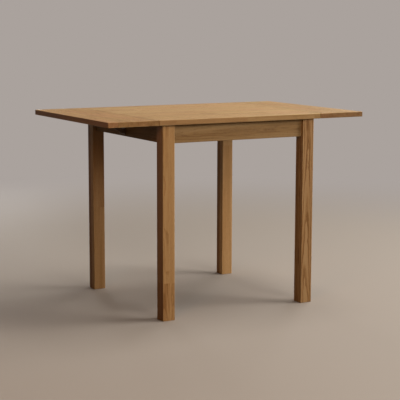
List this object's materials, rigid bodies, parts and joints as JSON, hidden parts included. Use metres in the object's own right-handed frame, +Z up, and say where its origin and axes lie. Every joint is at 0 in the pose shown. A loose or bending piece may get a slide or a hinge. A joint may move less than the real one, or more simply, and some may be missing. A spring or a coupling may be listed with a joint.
{
  "type": "drop-leaf dining table",
  "caption": "Small oak dining table with a fixed middle top on square legs and a hinged leaf at each end that swings down on folding stays.",
  "frame": {"origin": "on the floor, under the middle of the table", "axes": "+Z up, +X along the table towards the right leaf, +Y towards the back, so the front faces -Y"},
  "size_m": [1.1266, 0.7, 0.76],
  "materials": {
    "top_oak": "oiled, satin, edge-glued staves along the table",
    "leaf_oak": "oiled, satin, edge-glued staves across the table",
    "apron_oak": "oiled, satin",
    "leg_oak": "oiled, satin, laminated",
    "block_wood": "sawn and sanded, unfinished",
    "hinge_steel": "dark bronzed, satin",
    "stay_steel": "dark brown lacquer, satin",
    "pin_steel": "bright, turned",
    "bolt_steel": "zinc plated"
  },
  "bodies": {
    "frame": {"centre_top": "top_oak", "front_apron": "apron_oak", "back_apron": "apron_oak", "left_apron": "apron_oak", "right_apron": "apron_oak", "leg_front_left": "leg_oak", "corner_block_front_left": "block_wood", "hinge_fixed_flap_front_left": "hinge_steel", "hinge_pin_front_left": "pin_steel", "leg_front_right": "leg_oak", "corner_block_front_right": "block_wood", "hinge_fixed_flap_front_right": "hinge_steel", "hinge_pin_front_right": "pin_steel", "leg_back_left": "leg_oak", "corner_block_back_left": "block_wood", "hinge_fixed_flap_back_left": "hinge_steel", "hinge_pin_back_left": "pin_steel", "leg_back_right": "leg_oak", "corner_block_back_right": "block_wood", "hinge_fixed_flap_back_right": "hinge_steel", "hinge_pin_back_right": "pin_steel", "left_stay_bracket": "stay_steel", "right_stay_bracket": "stay_steel", "hanger_bolts": "bolt_steel", "hanger_washers": "bolt_steel", "hanger_nuts": "bolt_steel", "top_buttons": "block_wood", "stay_pivot_rivets": "pin_steel"},
    "left_leaf": {"left_leaf": "leaf_oak", "hinge_leaf_flap_front_left": "hinge_steel", "hinge_leaf_flap_back_left": "hinge_steel", "left_stay_leaf_plate": "stay_steel"},
    "right_leaf": {"right_leaf": "leaf_oak", "hinge_leaf_flap_front_right": "hinge_steel", "hinge_leaf_flap_back_right": "hinge_steel", "right_stay_leaf_plate": "stay_steel"},
    "left_arm": {"left_stay_arm": "stay_steel", "left_stay_tip_stud": "pin_steel"},
    "right_arm": {"right_stay_arm": "stay_steel", "right_stay_tip_stud": "pin_steel"}
  },
  "joints": [
    {"name": "left_leaf_drop", "type": "hinge", "parent": "frame", "child": "left_leaf", "pos_m": [-0.3579, 0, 0.7365], "axis": [0, -1, 0], "range_deg": [0, 90]},
    {"name": "left_arm_swing", "type": "hinge", "parent": "frame", "child": "left_arm", "pos_m": [-0.34, 0, 0.6915], "axis": [0, -1, 0], "range_deg": [0, 112.5]},
    {"name": "right_leaf_drop", "type": "hinge", "parent": "frame", "child": "right_leaf", "pos_m": [0.3579, 0, 0.7365], "axis": [0, 1, 0], "range_deg": [0, 90]},
    {"name": "right_arm_swing", "type": "hinge", "parent": "frame", "child": "right_arm", "pos_m": [0.34, 0, 0.6915], "axis": [0, 1, 0], "range_deg": [0, 112.5]}
  ],
  "couplings": [
    {"joint": "left_arm_swing", "follows": "left_leaf_drop", "ratio": 1.25},
    {"joint": "right_arm_swing", "follows": "right_leaf_drop", "ratio": 1.25}
  ]
}
